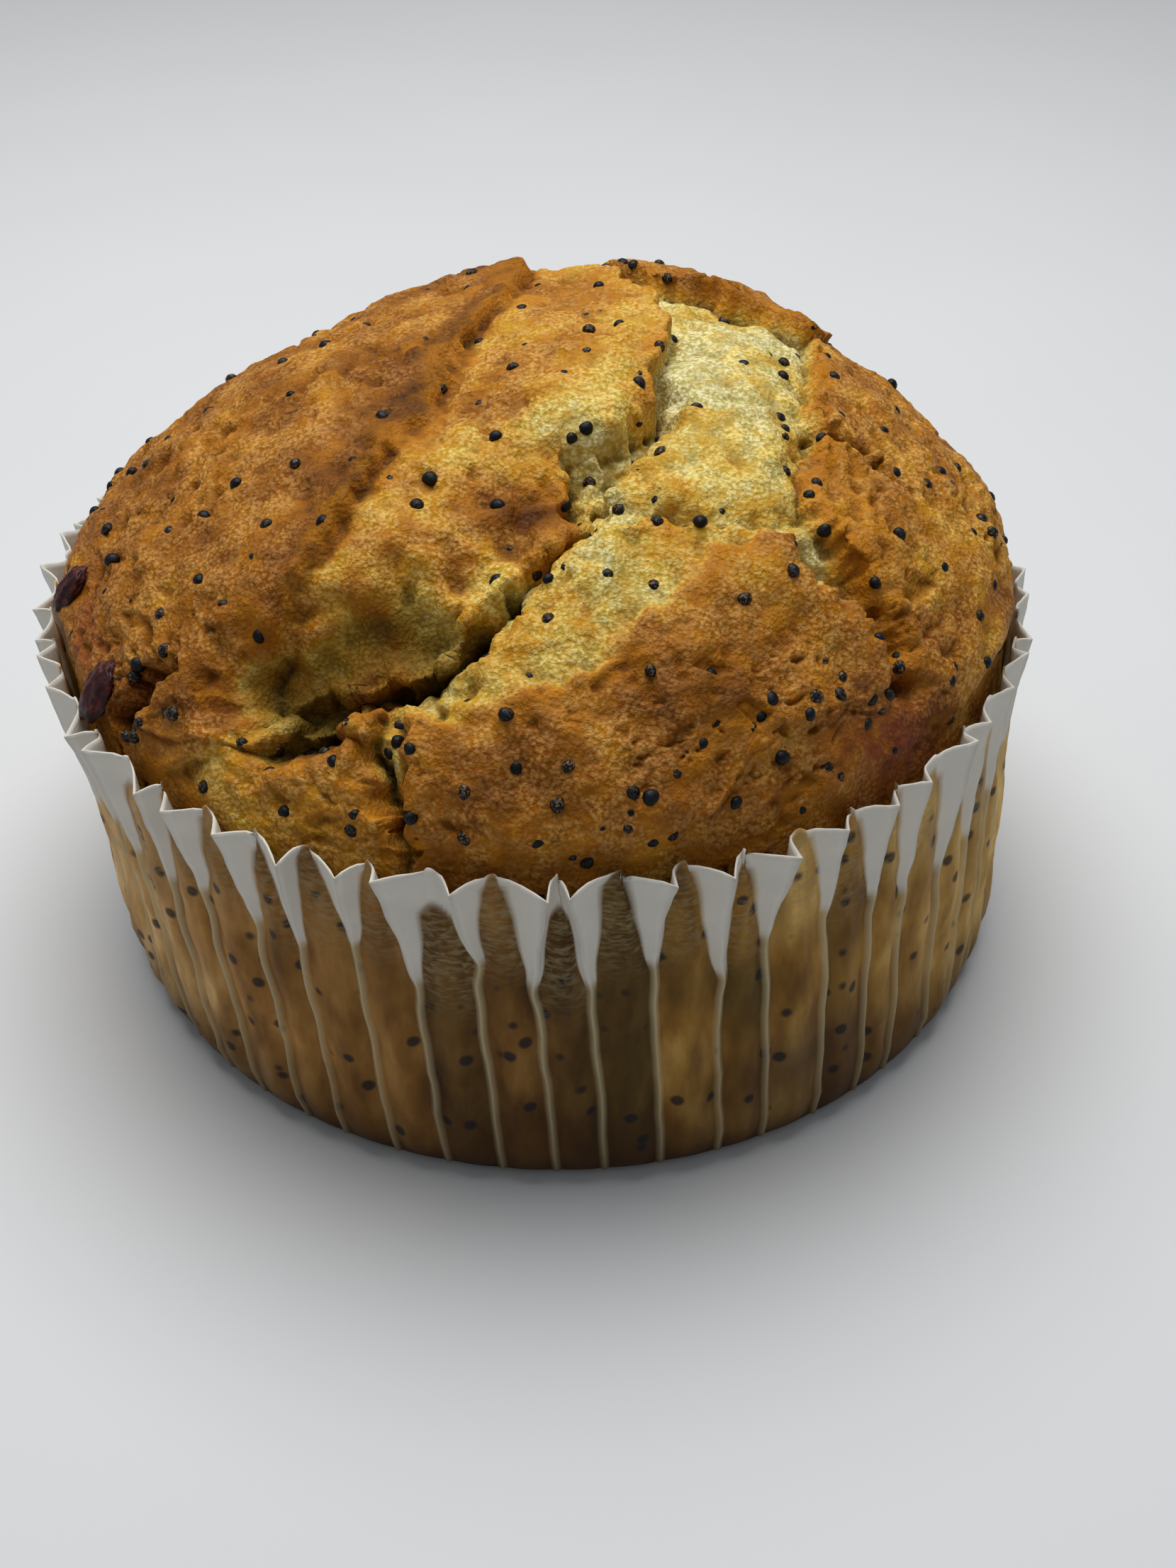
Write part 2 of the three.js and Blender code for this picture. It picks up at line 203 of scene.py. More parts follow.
def dome_places(direction):
    """Places on the bare dome and the outward directions, for unit directions out of its centre."""
    x, y, z = direction.T
    reach = (np.hypot(x, y) ** BOXINESS + np.abs(z) ** BOXINESS) ** (-1 / BOXINESS)
    rise = DOME_RISE * (1 + (DOME_LEAN[0] * x + DOME_LEAN[1] * y) * reach)
    places = np.stack(
        (
            DOME_CENTRE[0] + DOME_RADIUS * reach * x,
            DOME_CENTRE[1] + DOME_RADIUS * reach * y,
            DOME_FLOOR + rise * reach * z,
        ),
        axis=1,
    )
    out = np.stack((x / DOME_RADIUS, y / DOME_RADIUS, z / rise), axis=1)
    return places, out / np.linalg.norm(out, axis=1)[:, None]


def map_of(direction):
    """The crust map's u and v for unit directions."""
    polar = np.arccos(np.clip(direction[:, 2], -1, 1))
    turn = np.arctan2(direction[:, 1], direction[:, 0])
    return ARC * polar * np.cos(turn), ARC * polar * np.sin(turn)


def settled(places):
    """Places after the case has settled: it leans and turns oval towards its rim."""
    share = np.clip(places[:, 2] / RIM_HEIGHT, 0, 1)
    moved = places.copy()
    moved[:, 0] = places[:, 0] * (1 + (RIM_OVAL[0] - 1) * share) + RIM_SHIFT[0] * share
    moved[:, 1] = places[:, 1] * (1 + (RIM_OVAL[1] - 1) * share) + RIM_SHIFT[1] * share
    return moved


def unsettled(places):
    share = np.clip(places[:, 2] / RIM_HEIGHT, 0, 1)
    moved = places.copy()
    moved[:, 0] = (places[:, 0] - RIM_SHIFT[0] * share) / (1 + (RIM_OVAL[0] - 1) * share)
    moved[:, 1] = (places[:, 1] - RIM_SHIFT[1] * share) / (1 + (RIM_OVAL[1] - 1) * share)
    return moved


# %% [markdown]
# ## Plates, cracks and swells
# Baked crust is a stiff skin. When the cake under it goes on rising, the skin breaks into plates and
# paler crumb shows between them. So the relief is a low crumb level, plates that stand above it,
# thinner layers of crust on two of the plates, grooves where the crack runs, pits where it gapes, and
# broad swells. Each plate also says how crusty it is, from 0 for crumb to 1.

# %% Plates: outlines on the crust map, in mm
LEFT_BREAK = [(-1.6, 19), (-1.9, 11), (-4.6, 6), (-6.6, 1.5), (-7.2, -5), (-11, -11.5), (-14, -17.5),
              (-18, -22.5), (-22.5, -28.5), (-24, -33)]
PLATES = {
    "left": dict(rise=2.2, edge=1.1, crust=0.55, outline=[
        (6, 75), (6, 17), (8, 12), (10.5, 8), (11, 2.5), (9, -2), (8.5, -8), (6, -10), (2.5, -11),
        (2, -15), (3.5, -19), (1, -22), (-3, -26), (-5, -29), (-8, -32), (-10, -31), (-11.5, -33.5),
        (-13, -31.5), (-20.5, -29.5), (-22, -34), (-26, -35.5), (-31, -33), (-36, -30), (-34, -27),
        (-29, -26.5), (-31, -24.5), (-35, -24), (-46, -34), (-70, -20), (-60, 75)]),
    "front": dict(rise=2.2, edge=1.8, crust=0.4, outline=[
        (-10, -37), (-9, -35.5), (-6, -34), (-4, -31), (-1.5, -27), (2, -23), (4.8, -20.3), (9, -19.6),
        (14, -19.4), (18.5, -19.5), (22, -21), (27, -23.5), (29.5, -26), (31, -29), (31, -31.5), (26, -34),
        (21, -36.5), (18, -39.5), (16.5, -42.5), (15, -45), (12, -47.5), (7, -50), (3, -53),
        (-4, -56), (-11, -54), (-10.6, -43), (-9.8, -40)]),
    "small": dict(rise=1.8, edge=1.0, crust=0.75, outline=[
        (-25, -35.4), (-22, -37.2), (-20, -36.9), (-17.4, -36.4), (-15.6, -32.8), (-11.8, -32.9),
        (-12, -35.6), (-13.4, -38), (-12.9, -41), (-11.7, -44), (-12, -47), (-13, -58), (-30, -56),
        (-50, -34), (-40, -29), (-31, -31), (-27, -33)]),
    "right": dict(rise=1.9, edge=2.2, crust=0.92, outline=[
        (0, -50), (8, -45), (13, -38), (20, -33), (30, -29.5), (33, -27), (31, -24), (24, -19),
        (20.5, -14), (22.5, -8), (22, 0), (24, 10), (26, 75), (60, 75), (70, -20), (40, -60), (3, -62)]),
    "back": dict(rise=2.5, edge=0.8, crust=1.0, outline=[
        (5, 19.5), (9, 18.5), (13, 16.5), (19, 14), (23.5, 10), (27, 14), (25, 75), (5, 75)]),
    "mound": dict(rise=1.5, edge=3.6, crust=0.16, outline=[
        (6, -13), (8, -9), (12, -6), (19, -5), (21.5, -11), (20, -17), (15, -19), (9, -18)]),
}
LAYERS = {
    "left": dict(rise=1.0, edge=1.0, crust=1.0, outline=LEFT_BREAK + [
        (-31, -36), (-46, -34), (-70, -20), (-60, 75), (2, 75), (-1, 30)]),
    "front": dict(rise=0.5, edge=1.4, crust=1.0, outline=[
        (-10, -37), (-9, -35.5), (-6, -36.5), (-3, -35), (3, -33.5), (7, -30.5), (9.5, -27), (13, -23),
        (18.5, -19.5), (22, -21), (27, -23.5), (31, -29), (21, -36.5), (16.5, -42.5), (12, -47.5),
        (3, -53), (-4, -56), (-11, -54), (-11, -43)]),
}

# %% Grooves, pits and swells
CAVE = [(-21.5, -35), (-18, -34.4), (-15, -32.4), (-10, -32.3), (-6, -30.3), (-3, -26.7)]
FISSURE = [(-3, -26.7), (1.5, -22), (4.5, -19.4), (5.5, -15)]
GROOVES = [
    dict(width=1.7, depth=5.4, route=CAVE),
    dict(width=5.2, depth=4.8, steep=3, route=[(-21, -30.2), (-15, -29.6), (-9.5, -28.0)]),
    dict(width=4.2, depth=2.6, route=[(-9.5, -28.4), (-4.6, -23.8), (0, -18.6), (2.4, -14.8)]),
    dict(width=0.8, depth=4.2, route=FISSURE),
    dict(width=1.5, depth=2.5, route=[(4.6, -16), (6.2, -11.8), (9, -8.8), (10, -4)]),
    dict(width=1.2, depth=2.0, route=[(-14, -36), (-12.4, -40), (-11.4, -45)]),
    dict(width=1.8, depth=3.5, route=[(21.5, -20.8), (27, -22.8), (30.5, -25.5), (32.6, -28.5)]),
    dict(width=0.9, depth=1.1, route=[(22, -6.4), (25, -6.2), (28, -7.7), (31, -9)]),
    dict(width=1.0, depth=0.5, route=[(4.5, -18.6), (11, -17.9), (18, -17.9)]),
]
PITS = [
    dict(at=(-19, -34.9), radius=(4.4, 2.1), depth=7.0),
    dict(at=(-23.5, -35.3), radius=2.0, depth=2.2),
    dict(at=(-33.5, -26), radius=1.8, depth=3.0),
    dict(at=(-7.8, -31.4), radius=(2.0, 1.3), depth=6.4),
    dict(at=(-36.5, -27.5), radius=1.2, depth=1.4),
]
SWELLS = [
    dict(at=(2, -5), radius=(6, 8), height=0.9),
    dict(at=(-10, -21), radius=(5, 8), height=0.8),
    dict(at=(19, -23), radius=(7, 5), height=1.3),
    dict(at=(-2, -42), radius=(9, 6), height=0.6),
    dict(at=(-45, -14), radius=(7, 14), height=1.0),
    dict(at=(45, -8), radius=(7, 18), height=1.3),
    dict(at=(-25, 22), radius=(13, 12), height=-1.4),
    dict(at=(31, 22), radius=(9, 9), height=-1.2),
    dict(at=(-1, 20), radius=(10, 10), height=0.4),
    dict(at=(15, 4), radius=(8, 9), height=1.1),
    dict(at=(-5, -2), radius=(4, 9), height=-0.5),
    dict(at=(15, 26), radius=(10, 9), height=0.9),
    dict(at=(-14, -35), radius=(2.4, 2.4), height=1.3),
]


# %% Distances on the crust map
def stretch_distance(u, v, a, b):
    """Distance from every place to one straight stretch."""
    du, dv = b[0] - a[0], b[1] - a[1]
    t = np.clip(((u - a[0]) * du + (v - a[1]) * dv) / (du * du + dv * dv), 0, 1)
    return np.hypot(u - a[0] - t * du, v - a[1] - t * dv)


def route_distance(u, v, route):
    return np.min([stretch_distance(u, v, a, b) for a, b in zip(route, route[1:])], axis=0)


def rounded(outline, rounds=2):
    """The outline with its corners cut, so that a broken edge curves from place to place."""
    points = np.array(outline, dtype=float)
    for _ in range(rounds):
        after = np.roll(points, -1, axis=0)
        points = np.stack((0.75 * points + 0.25 * after, 0.25 * points + 0.75 * after), axis=1).reshape(-1, 2)
    return points


def outline_depth(u, v, outline):
    """Distance into a closed outline: positive inside, negative outside."""
    points = rounded(outline)
    inside = np.zeros(u.shape, dtype=bool)
    nearest = np.full(u.shape, np.inf)
    for a, b in zip(points, np.roll(points, -1, axis=0)):
        nearest = np.minimum(nearest, stretch_distance(u, v, a, b))
        if a[1] != b[1]:
            crosses = (a[1] > v) != (b[1] > v)
            inside ^= crosses & (u < (b[0] - a[0]) * (v - a[1]) / (b[1] - a[1]) + a[0])
    return np.where(inside, nearest, -nearest)


def hill(u, v, at, radius):
    """1 at a place, falling to 0 over a radius along u and one along v."""
    ru, rv = radius if isinstance(radius, tuple) else (radius, radius)
    return np.exp(-(((u - at[0]) / ru) ** 2) - ((v - at[1]) / rv) ** 2)


# %% Relief of the crust
def unevenness(u, v):
    long = np.sin(u * 0.31 + 1.7 * np.sin(v * 0.17)) * np.sin(v * 0.27 + 1.3 * np.sin(u * 0.21))
    short = np.sin(u * 0.93 + 2 * np.sin(v * 0.52)) * np.sin(v * 0.85 + 2 * np.sin(u * 0.47))
    return 0.35 * long + 0.1 * short


def relief(u, v, ragged, softness):
    """Height over the dome, how much of a place is crust, how deep in a crack it lies and how near it is
    to the thin edge of a plate. ragged moves a place before it is looked up, so that edges
    come out torn, and softness widens them."""
    ur, vr = u + ragged[:, 0], v + ragged[:, 1]
    plate = np.zeros(u.shape)
    crust = np.zeros(u.shape)
    layer = np.zeros(u.shape)
    thin = np.zeros(u.shape)
    for shapes, total in ((PLATES, plate), (LAYERS, layer)):
        for shape in shapes.values():
            depth = outline_depth(ur, vr, shape["outline"])
            np.maximum(total, shape["rise"] * smooth(0.5 + depth / (shape["edge"] * softness)), out=total)
            np.maximum(thin, shape["crust"] * np.exp(-(((depth - 0.8) / 1.2) ** 2)), out=thin)
            np.maximum(crust, shape["crust"] * smooth(0.6 + depth / (0.7 * shape["edge"] + 0.3)), out=crust)
    height = CRUMB_LEVEL + plate + layer + unevenness(u, v)
    for swell in SWELLS:
        height += swell["height"] * hill(u, v, swell["at"], swell["radius"])
    hollow = np.zeros(u.shape)
    for groove in GROOVES:
        distance = route_distance(ur, vr, groove["route"])
        across = (distance / groove["width"]) ** groove.get("steep", 2)
        hollow = np.maximum(hollow, groove["depth"] * np.exp(-across))
    for pit in PITS:
        hollow = np.maximum(hollow, pit["depth"] * hill(ur, vr, pit["at"], pit["radius"]))
    return height - hollow, crust, hollow, thin


# %% [markdown]
# ## Crust mesh
# A sphere of small, even triangles carries the relief. An icosphere has them, where a UV sphere
# would pinch at the crown and stretch at the rim. They are halved along the cracks and the plates'
# edges, where the relief is sharpest. The sphere's lower part, which the paper hides, is cut off, and
# the open edge is drawn down inside the case and closed, so the piece is one solid cake.

# %% Start from an icosphere and draw its edge down
PAPER = 0.4
CASE_GAP = 0.3
INSET = PAPER + CASE_GAP
FLAT_BASE = 40.2
FOOT_HEIGHTS = (0, 0.9, 4, 14, 25, 31, 36)
FOOT_RADII = (FLAT_BASE, 42.4, 43, 43.2, 43.5, 43.8, 43.9)
ROOM_HEIGHTS = [h + INSET for h in FOOT_HEIGHTS] + [RIM_HEIGHT + INSET + h for h in (1, 3, 6, 9)]
ROOM_RADII = [r - INSET for r in FOOT_RADII] + [FOOT_RADII[-1] - INSET + r for r in (0.3, 1.6, 5, 16)]
BODY_RING_HEIGHTS = (29.0, 20.0, 8.0, 4.7, 1.6, 0.7)  # where the drawn rings come to lie
CUT = 0.22  # height of the cut on the unit sphere, well under the paper's rim
FINE_BY_EDGE, FINE_BY_CRACK = 1.3, 1.6  # mm: triangles nearer than this are halved
NARROW = 2  # mm: a wider groove needs no halved triangles
FINE_BACK, FINE_REACH = 22, 54  # mm on the crust map, and nothing further back or out is halved

bm = bmesh.new()
bmesh.ops.create_icosphere(bm, subdivisions=8, radius=1)
bmesh.ops.bisect_plane(
    bm, geom=bm.verts[:] + bm.edges[:] + bm.faces[:], dist=1e-6,
    plane_co=(0, 0, CUT), plane_no=(0, 0, 1), clear_inner=True)
bmesh.ops.triangulate(bm, faces=bm.faces[:])
places = np.array([vert.co for vert in bm.verts])
near_u, near_v = map_of(places / np.linalg.norm(places, axis=1)[:, None])
outlines = [np.abs(outline_depth(near_u, near_v, PLATES[name]["outline"])) for name in PLATES]
narrow = [groove["route"] for groove in GROOVES if groove["width"] < NARROW]
cracks = [route_distance(near_u, near_v, route) for route in narrow]
near_edge = (np.min(outlines, axis=0) < FINE_BY_EDGE) | (np.min(cracks, axis=0) < FINE_BY_CRACK)
near_edge &= (near_v < FINE_BACK) & (np.hypot(near_u, near_v) < FINE_REACH)
bm.verts.ensure_lookup_table()
fine_edges = [e for e in bm.edges if near_edge[e.verts[0].index] and near_edge[e.verts[1].index]]
bmesh.ops.subdivide_edges(bm, edges=fine_edges, cuts=1, use_grid_fill=True)
bmesh.ops.triangulate(bm, faces=bm.faces[:])
edge = [e for e in bm.edges if e.is_boundary]
for ring in range(1, len(BODY_RING_HEIGHTS) + 1):
    drawn = bmesh.ops.extrude_edge_only(bm, edges=edge)["geom"]
    edge = [g for g in drawn if isinstance(g, bmesh.types.BMEdge) and g.is_boundary]
    for vert in {v for e in edge for v in e.verts}:
        vert.co.z = CUT - ring  # a mark: which ring this is
floor_face = bmesh.ops.contextual_create(bm, geom=edge)["faces"]
bmesh.ops.poke(bm, faces=floor_face)
bmesh.ops.recalc_face_normals(bm, faces=bm.faces[:])
crust_piece = piece_from(bm, "cake_crust")
crust_mesh = crust_piece.data
print("crust faces:", len(crust_mesh.polygons))

# %% Move the vertices out by the relief
marks = places_of(crust_mesh) * MM
on_dome = marks[:, 2] > CUT - 0.5
direction = marks / np.linalg.norm(marks, axis=1)[:, None]
bare, outward = dome_places(direction)
u, v = map_of(direction)
ragged = 0.9 * waves3(bare, 4.6, 3.0) + 0.8 * waves3(bare, 1.9, 9.0)
softness = np.exp(1.1 * waves(bare, 8.0, 41.0))
height, crust_share, hollow, thin_edge = relief(u, v, ragged, softness)
crust_share *= 1 - 0.75 * smooth((hollow - 2.2) / 1.4)
crumb_share = 1 - crust_share
height += 0.4 * waves(bare, 7.0, 2.0) + 0.2 * waves(bare, 3.0, 5.0)
places = bare + outward * height[:, None]


# %% Trim the cake to the room inside the paper
SOFT = 0.5  # mm


def trimmed(places):
    """No place further out than the room in the case at its height, with a soft turn towards the limit."""
    straight = unsettled(places)
    radius = np.hypot(straight[:, 0], straight[:, 1])
    room = np.interp(straight[:, 2], ROOM_HEIGHTS, ROOM_RADII)
    kept = room - SOFT * np.log1p(np.exp(np.clip((room - radius) / SOFT, -40, 40)))
    scale = np.where(radius < room - 5 * SOFT, 1, kept / np.maximum(radius, 1e-6))
    straight[:, :2] *= scale[:, None]
    return settled(straight)


def body_placed(places):
    """The drawn rings on the side of the cake, under the dome."""
    turn = np.arctan2(marks[:, 1], marks[:, 0])
    ring = np.round(CUT - marks[:, 2]).astype(int)
    middle = np.hypot(marks[:, 0], marks[:, 1]) < 0.01
    for number, ring_height in enumerate(BODY_RING_HEIGHTS, start=1):
        radius = np.where(middle, 0, np.interp(ring_height, ROOM_HEIGHTS, ROOM_RADII))
        heights = np.full(turn.shape, ring_height)
        straight = np.stack((radius * np.cos(turn), radius * np.sin(turn), heights), axis=1)
        places[ring == number] = settled(straight)[ring == number]
    return places


places = body_placed(trimmed(places))
put_places(crust_mesh, places)

# %% [markdown]
# ## Lips and grain
# Heights alone can't overhang, but torn crust does: its edge hangs over the crack. So every vertex is
# compared with the mean of its neighbours. Where it stands out, it is pushed further out along its own
# normal, which at a plate's edge points sideways. The same comparison says how far a vertex is sunk,
# which gives the painted shade in the cracks.

# %% Compare every vertex with its neighbours
ends = np.empty(2 * len(crust_mesh.edges), dtype=np.int64)
crust_mesh.edges.foreach_get("vertices", ends)
ends = ends.reshape(-1, 2)
neighbours = np.bincount(ends.ravel(), minlength=len(places))


def blurred(values, rounds):
    """A value per vertex averaged with its neighbours, so many rounds over."""
    for _ in range(rounds):
        spread = np.bincount(ends[:, 0], values[ends[:, 1]], len(values))
        spread += np.bincount(ends[:, 1], values[ends[:, 0]], len(values))
        values = 0.5 * values + 0.5 * spread / neighbours
    return values


def standing_out(places, rounds):
    """How far each vertex stands out of the mean surface round it, in mm."""
    mean = np.stack([blurred(places[:, i], rounds) for i in range(3)], axis=1)
    return np.einsum("ij,ij->i", places - mean, normals_of(crust_mesh))


# %% Push the lips out, then add the grain
LIP_IN, LIP_OUT = 0.3, 0.4  # mm
lips = np.clip(standing_out(places, 12), -LIP_IN, LIP_OUT)
lips *= smooth((places[:, 2] - 33) / 4)  # none inside the case
places = places + normals_of(crust_mesh) * lips[:, None]
put_places(crust_mesh, places)


def flakes(size, seed, start):
    """Thin scales that lifted off the crust: low places with a sharp edge, wider than they are high."""
    warped = bare * (1, 1, 1.8) + ragged
    return smooth((waves(warped, size, seed) + 0.5 * waves(warped, 0.4 * size, seed + 5) - start) * 7)


torn = np.exp(-((route_distance(u, v, CAVE + FISSURE[1:]) / 4.5) ** 2)) * smooth((v + 60) / 10)
scaly = smooth(0.5 + 2 * waves(bare, 11.0, 61.0))
scaled = scaly * np.maximum(flakes(3.4, 37.0, 0.3), 0.7 * flakes(1.9, 43.0, 0.28)) * crust_share
grain = 0.2 * waves(places, 2.1, 11.0) + 0.16 * waves(places, 1.0, 17.0) - 0.6 * scaled
crumbly = 0.32 * waves(places, 2.3, 23.0) + 0.25 * np.abs(waves(places, 1.3, 29.0))
grain += torn * (0.9 * waves(places, 2.4, 53.0) + 0.6 * np.abs(waves(places, 1.7, 59.0)))
places = places + normals_of(crust_mesh) * (grain + crumb_share * crumbly)[:, None]
places = body_placed(trimmed(places))
put_places(crust_mesh, places)
cavity = np.clip(-standing_out(places, 24) / 0.8, 0, 1)
edge_out = np.clip(standing_out(places, 8) / 0.35, 0, 1)
print("crust top at", round(places[:, 2].max(), 1), "mm, lips up to", round(lips.max(), 2), "mm")

# %% [markdown]
# ## How far each place is baked
# One number per vertex says how brown a place is: 0 is pale crumb, a half is golden brown crust, 1 is
# the dark ridge that faced the oven's heat. It starts from crust or crumb, and broad patches make
# places paler or browner; a few patches paint shade as brown, under the overhanging lobe and on the
# front plates. Three more numbers say how much shade is painted into a place that lies in a crack, how
# glassy its skin is and how far fruit juice stains it.

# %% Paint the bake
BAKED_CRUST = 0.54
BAKED_CRUMB = 0.06
# Most patches are browning and paleness of the crust. Some are painted shade: the one at (-0.6, -17) darkens
# the underside of the lobe that hangs over the crack, and those at (15, -35), (0, -43) and (11, -37) darken
# the front plates, which face away from the light.
PATCHES = [  # place on the crust map, radius along u and v, amount
    ((-1, -2), (5, 6), 0.16), ((2.4, -9.9), (3.2, 3), -0.26), ((-0.6, -17), (3.4, 2.6), 0.5),
    ((-6.8, -19.8), (4, 4), 0.08), ((-10.5, -6.6), (3, 5), 0.2), ((1, 9), (4, 6), 0.05),
    ((-3, -24), (3, 2.4), -0.16), ((17.5, -24.5), (5, 3.5), -0.17), ((15, -12), (5, 4), 0.06),
    ((15, -35), (10, 5), 0.12), ((0, -43), (12, 6), 0.08), ((7.7, -25.7), (4, 2.5), -0.12),
    ((2, -30), (6, 3), -0.1), ((35, -31), (6, 6), 0.26), ((-24, -44), (8, 7), -0.06),
    ((-28, -31), (5, 3), 0.26), ((-18, -36), (4, 1.5), 0.3), ((-11, -34.5), (2, 2.5), 0.3),
    ((-15, -30), (6, 4), 0.16), ((-7, 27), (6, 7), 0.2), ((-5, 13), (3, 4), -0.06),
    ((14, 20), (10, 6), 0.05), ((0, 14), (4, 3.5), 0.18), ((34, -15), (9, 11), -0.08),
    ((11, -37), (5, 3.5), 0.1), ((13.5, -4), (4, 6), -0.08), ((4.5, -8.5), (2.8, 3), -0.2),
    ((-27, -5), (14, 18), 0.05), ((9, 1), (2, 5), 0.06),
]
# Painted shade: patches that darken the crumb where the crack gapes widest and under the lobe that hangs over
# it.
CRACK_SHADE_PATCHES = [  # where the crack gapes widest, and under the lobe that hangs over it
    ((-19.8, -35.9), (4.2, 1.6), 1.6), ((-17.5, -32), (6, 2.8), 0.62), ((-7.8, -31.4), (2.6, 1.5), 1.1),
    ((-0.4, -17.4), (3.0, 2.0), 0.8), ((-12, -26), (3.6, 2.2), 0.7),
]
GLAZED = [  # orange and glassy, where the crust is thin
    ((0, 13.5), (4.5, 3.5), 0.9), ((11, 16.5), (6, 2.5), 0.7), ((9, -2.5), (2, 5), 0.8),
    ((0.5, -14.5), (3, 4), 0.7), ((-20.8, -26.5), (2, 3.5), 0.9), ((13.5, -29.5), (5, 3), 0.6),
    ((24.5, -14), (3.5, 5), 0.8), ((31, -18.5), (4, 2.5), 0.6), ((-9, -36), (2, 3), 0.6),
    ((-6.3, -26), (4, 2), 0.5), ((22.4, -30.5), (3, 2), 0.5),
]
STAINED = [((33, -35), (8, 5)), ((-41, -18), (3.5, 9))]  # by fruit that lies under the crust
# Painted shade: the deeper a place lies in a groove or pit, the darker its colour, from none at 2.6 mm to
# full at 5.6 mm.
HOLLOW_DEPTHS, HOLLOW_SHADE = (2.6, 4.8, 5.6), (0, 0.5, 1)
bake = BAKED_CRUMB + (BAKED_CRUST - BAKED_CRUMB) * crust_share
for at, radius, amount in PATCHES:
    bake += amount * hill(u, v, at, radius)
torn_u, torn_v = u + 1.8 * ragged[:, 0], v + 1.8 * ragged[:, 1]
break_depth = outline_depth(torn_u, torn_v, LAYERS["left"]["outline"])
inland = smooth((45 - np.hypot(u, v)) / 8) * smooth((v + 26) / 7)
from_ridge = break_depth - 0.9  # the darkest line lies this far behind the broken edge
break_browning = np.exp(-((from_ridge / np.where(from_ridge > 0, 2.6, 1.3)) ** 2)) * inland
bake += (0.3 + 0.2 * waves(bare, 6.0, 71.0)) * break_browning
bake = np.maximum(bake, 0.16 * smooth((hollow - 1.8) / 1.5))
bake += 0.06 * edge_out * crust_share - 0.1 * cavity * crumb_share - 0.06 * torn * crust_share
paint(crust_mesh, "bake", np.clip(bake, 0, 1))
# Painted shade in the cracks, written to the cavity attribute: darker where a vertex is sunk below its
# neighbours, deep in a groove and in the shade patches.
painted_crack_shade = np.maximum(0.8 * cavity, np.interp(hollow, HOLLOW_DEPTHS, HOLLOW_SHADE))
for at, radius, amount in CRACK_SHADE_PATCHES:
    painted_crack_shade = np.maximum(painted_crack_shade, amount * hill(u, v, at, radius) * (1 - crust_share))
paint(crust_mesh, "cavity", np.clip(painted_crack_shade, 0, 1))
glaze = np.exp(-((break_depth + 0.6) ** 2)) * inland + scaled
glaze += 0.9 * thin_edge * smooth(0.4 + 2 * waves(bare, 6.0, 83.0))
for at, radius, amount in GLAZED:
    glaze += amount * hill(u, v, at, radius) * smooth(0.6 + 1.5 * waves(bare, 3.0, 89.0))
paint(crust_mesh, "glaze", np.clip(glaze, 0, 1))
stain = sum(hill(u, v, at, radius) for at, radius in STAINED)
paint(crust_mesh, "stain", np.clip(stain, 0, 1))
print("bake from", round(bake.min(), 2), "to", round(bake.max(), 2))

# %% [markdown]
# ## Baked crust
# Sugar and egg brown in the oven, so the colour runs from pale straw crumb through gold and
# orange-brown to red-brown. Seen close, the crust is a velvet of tiny dry grains, pale on their tops,
# over a glassy skin that is deeper and more orange. So two colour ramps read the same bake, one for
# the skin and one for the grains, and granules of 0.4 mm choose between them. The grains' ramp is
# partly their own pale colour and partly painted highlight, the glints that light gives their tops.
# Where the crust is thin the skin is left bare and turns amber. Last come a few seeds that shine up
# from under the skin, the juice of the fruit and the painted shade in the cracks.

# %% Colours of the crust, from crumb to the darkest ridge
SKIN_COLOURS = [
    (0.0, "#B6A858"), (0.15, "#C09A2C"), (0.30, "#BC820A"), (0.45, "#A66606"),
    (0.60, "#864A02"), (0.78, "#623204"), (1.0, "#2E1402")]
# Paler than the skin: partly the grains' own colour, partly painted highlight where light catches their tops.
GRAIN_AND_GLINT_COLOURS = [
    (0.0, "#F0E8B8"), (0.15, "#EEDA84"), (0.30, "#E4BE66"), (0.45, "#D4A254"),
    (0.60, "#BB8642"), (0.78, "#96622A"), (1.0, "#603A14")]

# %% Crust material
crust_material, tree, shader, place = new_material("baked_crust", roughness=0.6, specular=0.14)
painted = {
    name: add_node(tree, "Attribute", attribute_name=name, out="Fac")
    for name in ("bake", "cavity", "stain", "glaze")}
mottle = add_node(tree, "TexNoise", {"Vector": place, "Scale": per_mm(6), "Detail": 3.0})
fleck = add_node(tree, "TexNoise", {"Vector": place, "Scale": per_mm(1.6), "Detail": 4.0})
fine = add_node(tree, "TexNoise", {"Vector": place, "Scale": per_mm(0.4), "Detail": 3.0, "Roughness": 0.6})
glassy = add_node(tree, "TexNoise", {"Vector": place, "Scale": per_mm(3.4), "Detail": 4.0, "Roughness": 0.6})
wobble = add_node(tree, "TexNoise", {"Vector": place, "Scale": per_mm(0.5), "Detail": 2.0}, out="Color")
warped = add_node(tree, "VectorMath", {0: wobble, 1: (0.35 * MM,) * 3, 2: place}, operation="MULTIPLY_ADD")
granules = add_node(tree, "TexVoronoi", {"Vector": warped, "Scale": per_mm(0.4)})
grain_height = add_node(tree, "Math", {0: granules, 1: -0.5, 2: fine}, operation="MULTIPLY_ADD")

# %% Skin under grains
baked = add_node(tree, "Math", {0: mottle, 1: 0.85, 2: painted["bake"]}, operation="MULTIPLY_ADD")
baked = add_node(tree, "Math", {0: fleck, 1: 0.5, 2: baked}, operation="MULTIPLY_ADD")
baked = add_node(tree, "Math", {0: baked, 1: 0.675}, operation="SUBTRACT", use_clamp=True)
skin = add_node(tree, "ValToRGB", {"Fac": baked}, SKIN_COLOURS)
